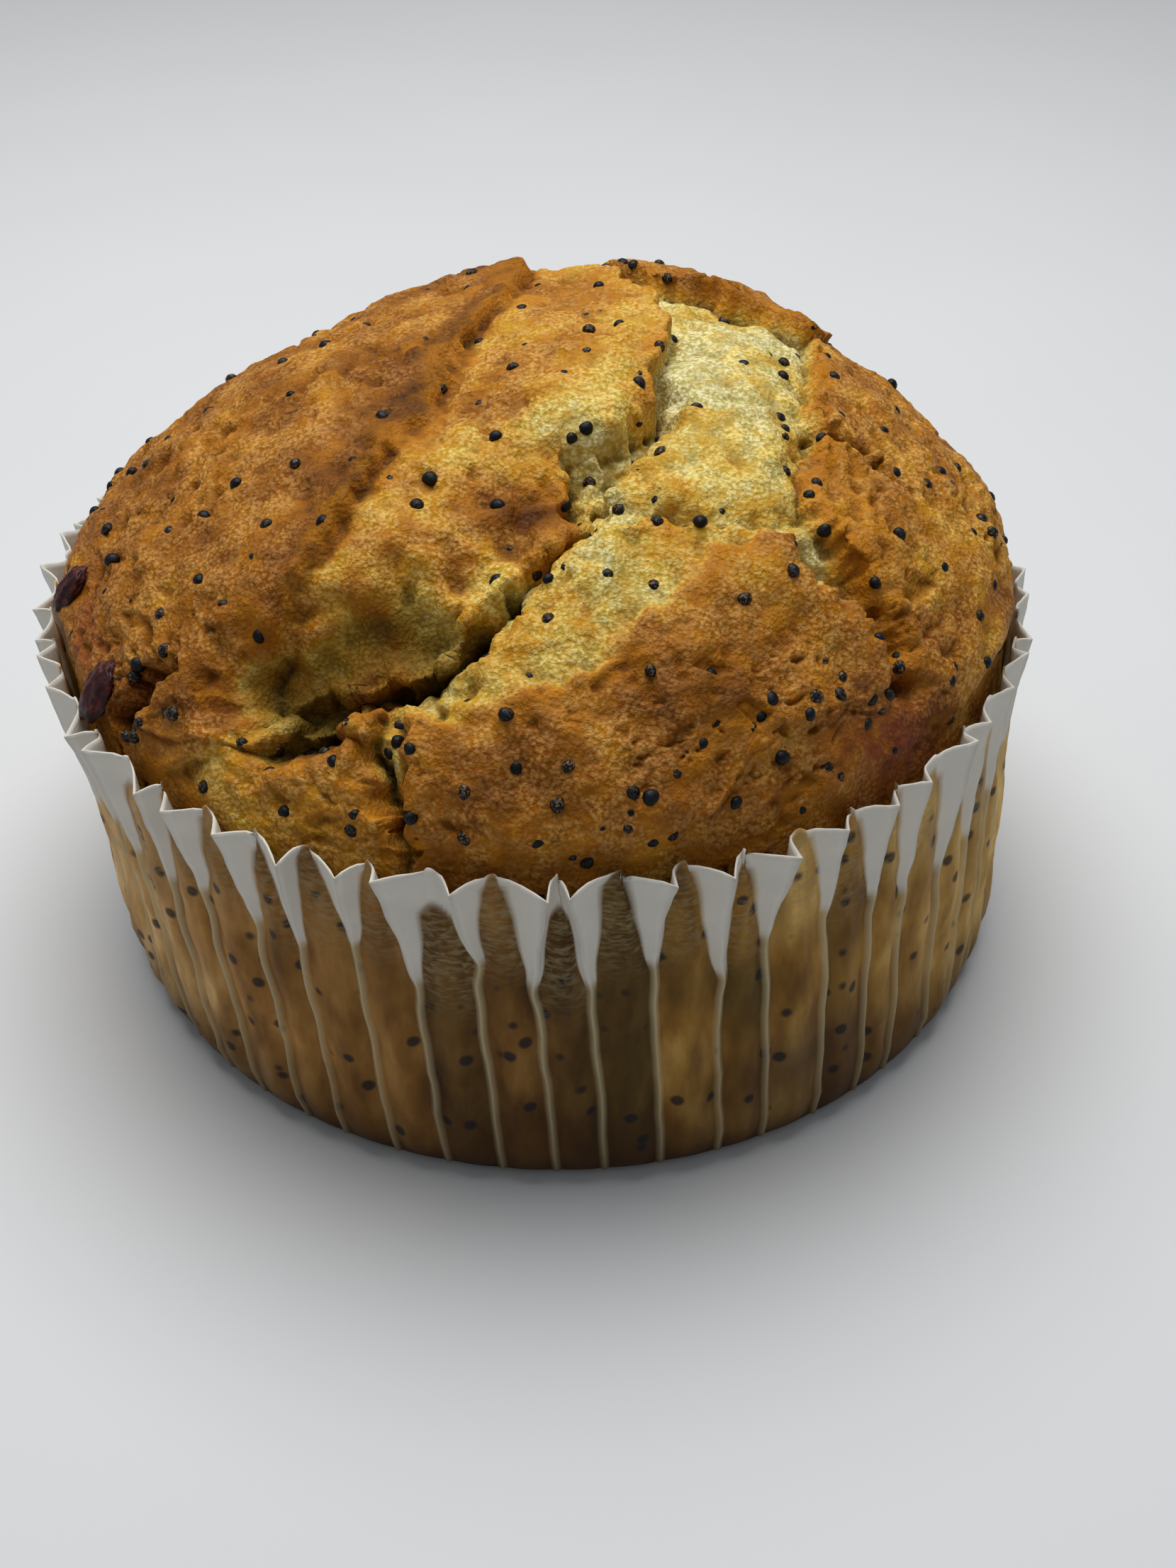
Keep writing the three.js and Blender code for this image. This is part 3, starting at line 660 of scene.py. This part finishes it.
# The grains' colours: partly their own pale colour, partly painted highlight on their tops.
grains = add_node(tree, "ValToRGB", {"Fac": baked}, GRAIN_AND_GLINT_COLOURS)
glass_mask = add_node(tree, "ValToRGB", {"Fac": glassy}, [(0.48, "#000000"), (0.6, "#FFFFFF")])
clumps = add_node(tree, "Mix", {0: 0.33, 2: grain_height, 3: fleck})
grain_mask = add_node(tree, "ValToRGB", {"Fac": clumps}, [(0.22, "#000000"), (0.46, "#FFFFFF")])
bare_skin = add_node(tree, "Math", {0: glass_mask, 1: painted["glaze"]}, operation="MAXIMUM")
glaze_tint = add_node(
    tree, "Math", {0: glass_mask, 1: 0.3, 2: painted["glaze"]}, operation="MULTIPLY_ADD", use_clamp=True)
glaze_tint = add_node(tree, "Math", {0: glaze_tint, 1: 0.6}, operation="MULTIPLY")
skin = add_node(tree, "Mix", {0: glaze_tint, 6: skin, 7: "#C07A0A"}, data_type="RGBA", out=2)
grain_share = add_node(tree, "Math", {0: bare_skin, 1: -0.7, 2: 1.0}, operation="MULTIPLY_ADD")
grain_mask = add_node(tree, "Math", {0: grain_mask, 1: grain_share}, operation="MULTIPLY")
crust_colour = add_node(tree, "Mix", {0: grain_mask, 6: skin, 7: grains}, data_type="RGBA", out=2)

# %% Seeds under the skin, stain, painted shade in the cracks and bump
sunk_seeds = add_node(tree, "TexVoronoi", {"Vector": place, "Scale": per_mm(4.4)})
sunk_seed_share = add_node(tree, "ValToRGB", {"Fac": sunk_seeds}, [(0.08, "#8C8C8C"), (0.16, "#000000")])
crust_colour = add_node(
    tree, "Mix", {0: sunk_seed_share, 6: crust_colour, 7: "#2C2416"}, data_type="RGBA", out=2)
stain_share = add_node(tree, "Math", {0: painted["stain"], 1: fleck}, operation="MULTIPLY")
crust_colour = add_node(tree, "Mix", {0: stain_share, 6: crust_colour, 7: "#7A2C24"}, data_type="RGBA", out=2)
# Painted shade: the cavity attribute turns the crust colour olive and then near black in the cracks.
dark = add_node(tree, "ValToRGB", {"Fac": painted["cavity"]}, [
    (0.0, "#FFFFFF"), (0.35, "#B4A676"), (0.7, "#5C522C"), (1.0, "#14110A")])
crust_colour = add_node(
    tree, "Mix", {0: 1.0, 6: crust_colour, 7: dark}, data_type="RGBA", blend_type="MULTIPLY", out=2)
tree.links.new(crust_colour, shader.inputs["Base Color"])
roughness = add_node(tree, "MapRange", {"Value": fine, "To Min": 0.75, "To Max": 0.5})
tree.links.new(roughness, shader.inputs["Roughness"])
bump_height = add_node(tree, "Math", {0: fleck, 1: 0.6, 2: grain_height}, operation="MULTIPLY_ADD")
bump = add_node(tree, "Bump", {"Height": bump_height, "Strength": 1.0, "Distance": 0.2 * MM})
tree.links.new(bump, shader.inputs["Normal"])
crust_mesh.materials.append(crust_material)
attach(crust_piece, "root")
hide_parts("muffin")

# %% [markdown]
# ## Poppy seeds
# A poppy seed is a blue-black kidney about 1.2 mm long with a fine net of ridges. Some lie on
# the crust and some are half sunk, alone or in twos and threes. They are small meshes in one piece,
# set on vertices of the finished crust, so that each one truly sits in it.

# %% Scatter the seeds
SEED_COUNT = 350
SEED_AXES = (0.6, 0.53, 0.48)  # half lengths in mm
SEEDS_FROM = 35.5  # mm over the floor, just under the paper's rim
ALONE = 3.0  # mm from a seed's middle to the next, unless the two lie together
TOGETHER = (1.25, 1.9)
dice = random.Random(12)
surface = normals_of(crust_mesh)
open_crust = np.flatnonzero((places[:, 2] > SEEDS_FROM) & (cavity < 0.55) & on_dome & (hollow < 2.6))
chosen = []
while len(chosen) < SEED_COUNT:
    index = int(dice.choice(open_crust))
    gaps = [np.linalg.norm(places[index] - places[other]) for other in chosen]
    nearest = min(gaps, default=99)
    if nearest > ALONE or (TOGETHER[0] < nearest < TOGETHER[1] and dice.random() < 0.75):
        chosen.append(index)


def seed_frame(index):
    """Place, turn and size of a seed on one vertex of the crust."""
    size = dice.uniform(0.88, 1.22)
    sunk = dice.uniform(-0.54, 0.03)
    turn = Vector(surface[index]).to_track_quat("Z", "Y").to_matrix().to_4x4()
    spin = Matrix.Rotation(dice.uniform(0, math.tau), 4, "Z")
    centre = Vector(places[index] + surface[index] * sunk) * MM
    axes = Matrix.Diagonal((*(size * axis * MM for axis in SEED_AXES), 1))
    return Matrix.Translation(centre) @ turn @ spin @ axes


bm = bmesh.new()
for index in chosen:
    made = bmesh.ops.create_icosphere(bm, subdivisions=2, radius=1)["verts"]
    for vert in made:
        vert.co.y += 0.22 * vert.co.x ** 2  # bend the ball into a kidney
    bmesh.ops.transform(bm, matrix=seed_frame(index), verts=made)
seeds = piece_from(bm, "poppy_seeds")
per_seed = len(seeds.data.vertices) // len(chosen)
paint(seeds.data, "dusted", np.repeat([max(0.0, dice.uniform(-0.3, 1.0)) for _ in chosen], per_seed))
print("seeds:", len(chosen), "faces:", len(seeds.data.polygons))

# %% Seed material
seed_material, tree, shader, place = new_material("poppy_seed_coat", roughness=0.45, specular=0.2)
net = add_node(tree, "TexVoronoi", {"Vector": place, "Scale": per_mm(0.22)}, feature="DISTANCE_TO_EDGE")
bloom = add_node(tree, "TexNoise", {"Vector": place, "Scale": per_mm(0.7), "Detail": 3.0})
coat = add_node(tree, "ValToRGB", {"Fac": bloom}, [(0.4, "#07080B"), (0.62, "#151920")])
crumbs = add_node(tree, "TexNoise", {"Vector": place, "Scale": per_mm(0.2), "Detail": 2.0})
dusted = add_node(tree, "Attribute", attribute_name="dusted", out="Fac")
crumb_mask = add_node(tree, "MapRange", {"Value": crumbs, "From Min": 0.52, "From Max": 0.66})
crumb_mask = add_node(tree, "Math", {0: crumb_mask, 1: dusted}, operation="MULTIPLY")
seed_colour = add_node(tree, "Mix", {0: crumb_mask, 6: coat, 7: "#8C6C40"}, data_type="RGBA", out=2)
tree.links.new(seed_colour, shader.inputs["Base Color"])
bump = add_node(tree, "Bump", {"Height": net, "Strength": 0.6, "Distance": 0.06 * MM})
tree.links.new(bump, shader.inputs["Normal"])
seeds.data.materials.append(seed_material)
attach(seeds, "root")
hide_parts("muffin")

# %% [markdown]
# ## Paper case
# The case is a flat disc of greaseproof paper pressed into pleats. Near the rim each pleat stands out
# as a white fold, because nothing touches it there. Lower down the cake presses the paper out
# between thin creases and its fat makes it see-through. A profile is spun round the middle axis, and
# then each vertex is moved by its place in its pleat, about half of them onto the fold and the rest
# onto the panels beside it.

# %% Spin the plain case
PLEATS = 56
STEPS = 16  # vertices round one pleat
FIN_STEPS = 4  # of them on each side of a ridge
SHEET = 0.16  # thickness drawn
GAP_PLEAT = 17  # round here the paper stands off the cake, so its white part reaches lower
rows = [(0, 0), (18, 0), (33, 0), (38.6, 0), (FLAT_BASE, 0)]
side_heights = [0.35, 0.9, 2.2, 4] + list(np.arange(6, 20, 1.75)) + list(np.arange(20, 36.01, 0.5))
rows += [(float(np.interp(h, FOOT_HEIGHTS, FOOT_RADII)), float(h)) for h in side_heights]
bm = bmesh.new()
chain = [bm.verts.new((0, -radius * MM, h * MM)) for radius, h in rows]
links = [bm.edges.new(pair) for pair in zip(chain, chain[1:])]
bmesh.ops.spin(
    bm, geom=chain + links, axis=(0, 0, 1), cent=(0, 0, 0), angle=math.tau,
    steps=PLEATS * STEPS, use_merge=True)
bmesh.ops.remove_doubles(bm, verts=bm.verts[:], dist=1e-7)
bmesh.ops.recalc_face_normals(bm, faces=bm.faces[:])
case = piece_from(bm, "paper_pleats")
case_mesh = case.data
print("paper faces:", len(case_mesh.polygons))

# %% Every pleat has its own habits
dice = random.Random(5)
pleats = [
    dict(
        length=dice.uniform(10, 14.5), lean=dice.uniform(0.1, 0.42), odd=dice.random() < 0.14,
        ridge=dice.uniform(1.6, 2.5), wide=dice.uniform(0.36, 0.46), tall=dice.uniform(-0.6, 0.6),
        jog=dice.uniform(-1, 1), stray=dice.uniform(-0.13, 0.13),
        gap=4.5 * dice.random() ** 3 + 5 * math.exp(-(((number - GAP_PLEAT) / 4) ** 2)))
    for number in range(PLEATS)
]
habit = {key: np.array([p[key] for p in pleats]) for key in pleats[0]}

# %% Fold the pleats
plain = places_of(case_mesh)
turn = np.arctan2(plain[:, 0], -plain[:, 1]) % math.tau
step = np.round(turn / math.tau * PLEATS * STEPS).astype(int) % (PLEATS * STEPS)
pleat = ((step + STEPS // 2) // STEPS) % PLEATS
away = (step + STEPS // 2) % STEPS - STEPS // 2  # steps from the ridge, negative on its left
height = plain[:, 2]
start = RIM_HEIGHT - habit["length"][pleat]
rise = np.clip((height - start) / (RIM_HEIGHT - start), 0, 1)
foot_share = 0.1 + (habit["wide"][pleat] - 0.1) * rise
ridge = habit["ridge"][pleat] * (1 - 0.3 * np.clip(plain[:, 0] / 44, 0, 1))  # lower on the right
ridge_out = np.interp(height, (0, 0.9, 6, 20), (0, 0.25, 0.45, 0.5)) + (ridge - 0.5) * rise ** 1.15

side = np.sign(away)
steps_off = np.abs(away)
on_fin = steps_off <= FIN_STEPS
fin_share = steps_off / FIN_STEPS
panel_share = (steps_off - FIN_STEPS) / (STEPS / 2 - FIN_STEPS)
phase = np.where(on_fin, foot_share * fin_share, foot_share + (0.5 - foot_share) * panel_share) * side
front_low = 0.8 * np.exp(-((np.angle(np.exp(1j * turn)) / 0.9) ** 2))
leans_to = np.where(np.sin(math.tau * pleat / PLEATS + 0.05) > 0, 1, -1)
leans_to = leans_to * np.where(habit["odd"][pleat], -0.6, 1)
lean = leans_to * habit["lean"][pleat] * rise ** 1.2 * np.where(on_fin, (1 - fin_share) ** 1.1, 0)
jog = 0.09 * habit["jog"][pleat] * np.exp(-(((height - start) / 1.6) ** 2))
wander = 0.05 * waves(np.stack((2.0 * pleat, height, 0 * height), axis=1), 4.0, 8.0)
shift = habit["stray"][pleat] + jog + wander * smooth(height / 6)
follows = np.where(on_fin, 1, 1 - panel_share)
angle = math.tau * (pleat + phase + shift * follows + lean) / PLEATS

fold = np.where(on_fin, (1 - fin_share) ** 1.45 * ridge_out, 0)
belly = np.interp(height, (0, 2, 6, 24, 33, 36), (0, 0.4, 0.7, 0.65, 0.2, 0.05))
bulge = np.where(on_fin, 0, belly * np.sin(math.pi * 0.5 * np.clip(panel_share, 0, 1)))
radius = np.hypot(plain[:, 0], plain[:, 1]) + fold + bulge * smooth(height / 2)
folded = np.stack((radius * np.sin(angle), -radius * np.cos(angle), height), axis=1)
at_rim = smooth((height - 31) / 5)
tongue = np.where(on_fin, 0, 0.5 * np.clip(panel_share, 0, 1) * (2 - np.clip(panel_share, 0, 1)))
folded[:, 2] += at_rim * (0.6 * habit["tall"][pleat] * (1 - np.clip(steps_off * 2 / STEPS, 0, 1)) - front_low)
folded[:, 2] += at_rim * (tongue - 0.22 * fold)

# %% Crumple the paper and let the case settle
crumple = 0.14 * waves(folded, 2.6, 4.0) + 0.05 * waves(folded, 1.1, 6.0)
crumple *= smooth(height / 3) * (0.45 + 0.55 * smooth((height - 18) / 8))
dents = 0.5 * np.abs(waves(folded, 5.5, 12.0)) + 0.3 * waves(folded, 13.0, 15.0)
crumple += dents * smooth(height / 4) * (1 - 0.6 * smooth((height - 16) / 10))
folded[:, :2] *= (1 + crumple / np.maximum(radius, 1))[:, None]
folded[:, 2] += at_rim * 0.25 * waves(folded, 1.8, 14.0)
put_places(case_mesh, settled(folded))
panel = (step // STEPS) % PLEATS
arch = RIM_HEIGHT - habit["gap"][panel] - 1.2 * (1 - np.clip(panel_share, 0, 1)) ** 2
off_cake = smooth((height - np.where(on_fin, RIM_HEIGHT - habit["gap"][panel] - 1.2, arch)) / 1.2)
off_cake = np.where(on_fin, np.maximum(off_cake, smooth((1 - fin_share) * 3.5) * smooth(rise * 8)), off_cake)
paint(case_mesh, "off_cake", off_cake)
paint(case_mesh, "crease", np.where(on_fin, 1 - fin_share, 0))
tone = np.array([dice.uniform(-0.05, 0.05) for _ in range(PLEATS)])
# east runs from the left of the case to its right, with a small random tone per panel; the paper's colour
# ramp turns it into painted shade on the front and paler colour at the sides.
paint(case_mesh, "east", np.clip(0.42 + folded[:, 0] / 150 + tone[panel], 0, 1))
paint(case_mesh, "frosty", smooth((height - arch + 13) / 8) * (1 - off_cake))
paint(case_mesh, "height", height)
paint(case_mesh, "fruit_behind", hill(folded[:, 0], height, (22, 10), (8, 4.5)) * (folded[:, 1] < 0))
thickness = case.modifiers.new("thickness", "SOLIDIFY")
thickness.thickness = SHEET * MM
thickness.offset = -1
print("paper up to", round(folded[:, 2].max(), 1), "mm")

# %% [markdown]
# ## Greaseproof paper
# Plain white paper scatters light and hides what is behind. Where fat has soaked it, the air in it is
# gone and the cake shows through, brown and blurred in streaks that run down each panel, with dark
# seeds and frosty wrinkles. The off_cake attribute says where the paper stands off the cake, which is
# where it stays white. The soaked colour is partly the cake behind the paper and partly painted shade:
# it is darkest on the front of the case, which faces away from the lamp, paler towards the left and
# right, and darker still towards the foot.

# %% Paper material
paper_material, tree, shader, place = new_material("greaseproof_paper", roughness=0.55, specular=0.12)
painted = {
    name: add_node(tree, "Attribute", attribute_name=name, out="Fac")
    for name in ("off_cake", "crease", "height", "east", "fruit_behind", "frosty")}
broad = add_node(tree, "TexNoise", {"Vector": place, "Scale": per_mm(16), "Detail": 1.0})
upright = add_node(tree, "Mapping", {"Vector": place, "Scale": (1.0, 1.0, 0.35)})
patchy = add_node(tree, "TexNoise", {"Vector": upright, "Scale": per_mm(2.6), "Detail": 4.0})
place_round = add_node(tree, "Math", {0: broad, 1: 0.25, 2: painted["east"]}, operation="MULTIPLY_ADD")
# Painted shade in the soaked colour: dark in the middle of the ramp, at the front of the case, and pale at
# both ends, at its left and right sides.
soaked_and_shaded = add_node(tree, "ValToRGB", {"Fac": place_round}, [
    (0.2, "#F4CC90"), (0.38, "#B48444"), (0.52, "#664A1E"), (0.62, "#604C1C"), (0.7, "#A87E38"),
    (0.8, "#F4CC7C")])
worn = add_node(tree, "ValToRGB", {"Fac": patchy}, [(0.34, "#94805C"), (0.5, "#D0C2A0"), (0.66, "#FFFFFF")])
soaked_and_shaded = add_node(tree, "Mix", {0: 0.85, 6: soaked_and_shaded, 7: worn}, data_type="RGBA", blend_type="MULTIPLY", out=2)
# Painted shade: the soaked paper darkens towards the foot of the case, within 12 mm of the floor.
low_shade = add_node(tree, "MapRange", {
    "Value": painted["height"], "From Min": 1, "From Max": 12, "To Min": 0.95, "To Max": 0})
soaked_and_shaded = add_node(tree, "Mix", {0: low_shade, 6: soaked_and_shaded, 7: "#3A220A"}, data_type="RGBA", out=2)
fruit_share = add_node(tree, "Math", {0: painted["fruit_behind"], 1: 0.8}, operation="MULTIPLY")
soaked_and_shaded = add_node(tree, "Mix", {0: fruit_share, 6: soaked_and_shaded, 7: "#341A14"}, data_type="RGBA", out=2)

# %% Seeds and frost in the paper
cells = add_node(tree, "TexVoronoi", {"Vector": place, "Scale": per_mm(2.7)})
spot = add_node(tree, "ValToRGB", {"Fac": cells}, [(0.17, "#FFFFFF"), (0.27, "#000000")])
cell_number = add_node(tree, "TexVoronoi", {"Vector": place, "Scale": per_mm(2.7)}, out="Color")
chosen_cell = add_node(tree, "ValToRGB", {"Fac": cell_number}, [(0.36, "#000000"), (0.4, "#FFFFFF")])
spot_share = add_node(tree, "Math", {0: spot, 1: chosen_cell}, operation="MULTIPLY")
spot_share = add_node(tree, "Math", {0: spot_share, 1: 0.85}, operation="MULTIPLY")
soaked_and_shaded = add_node(tree, "Mix", {0: spot_share, 6: soaked_and_shaded, 7: "#14181E"}, data_type="RGBA", out=2)
flat = add_node(tree, "Mapping", {"Vector": place, "Scale": (1.0, 1.0, 2.6)})
frost = add_node(tree, "TexNoise", {"Vector": flat, "Scale": per_mm(1.0), "Detail": 3.0, "Distortion": 0.6})
frost_dashes = add_node(tree, "ValToRGB", {"Fac": frost}, [(0.42, "#000000"), (0.66, "#FFFFFF")])
frost_share = add_node(tree, "Math", {0: frost_dashes, 1: painted["frosty"]}, operation="MULTIPLY")
frost_share = add_node(tree, "Math", {0: frost_share, 1: 0.6}, operation="MULTIPLY")
soaked_and_shaded = add_node(tree, "Mix", {0: frost_share, 6: soaked_and_shaded, 7: "#9A8A66"}, data_type="RGBA", out=2)

# %% Cream creases, white folds and fibres
crease_share = add_node(tree, "MapRange", {
    "Value": painted["height"], "From Min": 1, "From Max": 22, "To Min": 0.35, "To Max": 0.95})
crease_share = add_node(tree, "Math", {0: painted["crease"], 1: crease_share}, operation="MULTIPLY")
paper_colour = add_node(tree, "Mix", {0: crease_share, 6: soaked_and_shaded, 7: "#CCBC94"}, data_type="RGBA", out=2)
paper_colour = add_node(
    tree, "Mix", {0: painted["off_cake"], 6: paper_colour, 7: "#DDD8CD"}, data_type="RGBA", out=2)
tree.links.new(paper_colour, shader.inputs["Base Color"])
fibres = add_node(tree, "TexNoise", {"Vector": place, "Scale": per_mm(0.8), "Detail": 3.0})
bump = add_node(tree, "Bump", {"Height": fibres, "Strength": 0.3, "Distance": 0.2 * MM})
tree.links.new(bump, shader.inputs["Normal"])
case_mesh.materials.append(paper_material)
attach(case, "root")
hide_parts("paper_case")

# %% [markdown]
# ## Fruit bits
# Two bits of dark red fruit stand out of the left side, wrinkled and sticky where the oven dried
# them. A ball with crumpled skin is enough, because most of each bit is sunk in the crust.

# %% Fruit bits
FRUIT_BITS = {
    "fruit_bit_upper": dict(at=(-43, -10.5), radii=(1.6, 2.4, 0.9)),
    "fruit_bit_lower": dict(at=(-40, -24.5), radii=(1.9, 2.8, 1.0)),
}
fruit_material, tree, shader, place = new_material("dried_fruit_skin", roughness=0.5, specular=0.3)
wrinkle = add_node(tree, "TexNoise", {"Vector": place, "Scale": per_mm(0.9), "Detail": 4.0})
fruit_colour = add_node(tree, "ValToRGB", {"Fac": wrinkle}, [
    (0.35, "#1E0809"), (0.55, "#3C1113"), (0.72, "#5E2A1C")])
tree.links.new(fruit_colour, shader.inputs["Base Color"])
bump = add_node(tree, "Bump", {"Height": wrinkle, "Strength": 0.8, "Distance": 0.3 * MM})
tree.links.new(bump, shader.inputs["Normal"])

for name, bit in FRUIT_BITS.items():
    at_u, at_v = bit["at"]
    nearest = int(np.argmin(np.hypot(u - at_u, v - at_v) + 99 * ~on_dome))
    low_corner, high_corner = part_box(name)
    centre = (Vector(low_corner) + Vector(high_corner)) / 2
    bm = bmesh.new()
    made = bmesh.ops.create_icosphere(bm, subdivisions=5, radius=1)["verts"]
    for vert in made:
        vert.co *= 1 + 0.16 * noise.noise(vert.co * 2.1) + 0.07 * noise.noise(vert.co * 5.3)
    axes = Matrix.Diagonal((*(r * MM for r in bit["radii"]), 1))
    turned = Vector(outward[nearest]).to_track_quat("Z", "Y").to_matrix().to_4x4()
    bmesh.ops.transform(bm, matrix=Matrix.Translation(centre) @ turned @ axes, verts=made)
    fruit = piece_from(bm, name + "_skin")
    fruit.data.materials.append(fruit_material)
    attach(fruit, "root")
    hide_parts(name)

# %% [markdown]
# ## Floor and light
# A pale floor runs to the edge of the view. One large soft light hangs over the muffin and a little
# behind it, so the crown is bright and the front of the case is in soft shade, and a dim even sky fills
# the shadows.

# %% Floor
bm = bmesh.new()
bmesh.ops.create_grid(bm, x_segments=8, y_segments=8, size=1.5)
floor = piece_from(bm, "floor")
floor_material, tree, shader, place = new_material("matt_pale_board", roughness=0.7, specular=0.3)
cloud = add_node(tree, "TexNoise", {"Vector": place, "Scale": per_mm(60)})
board = add_node(tree, "ValToRGB", {"Fac": cloud}, [(0.3, "#DADBDC"), (0.7, "#DCDDDE")])
tree.links.new(board, shader.inputs["Base Color"])
floor.data.materials.append(floor_material)

# %% Light
LIGHT_PLACE = (-0.02, 0.085, 0.39)  # m
LIGHT_AIM = (0, 0, 0.03)
light_data = bpy.data.lights.new("soft_overhead", "AREA")
light_data.shape = "DISK"
light_data.size = 0.36
light_data.energy = 1.58
light = bpy.data.objects.new("soft_overhead", light_data)
light.location = LIGHT_PLACE
light.rotation_euler = (Vector(LIGHT_PLACE) - Vector(LIGHT_AIM)).to_track_quat("Z", "Y").to_euler()
bpy.context.collection.objects.link(light)
world = bpy.data.worlds.new("studio")
bpy.context.scene.world = world
world.use_nodes = True
world.node_tree.nodes["Background"].inputs["Color"].default_value = linear("#E4E8EC")
world.node_tree.nodes["Background"].inputs["Strength"].default_value = 0.29
bpy.context.scene.view_settings.view_transform = "Standard"
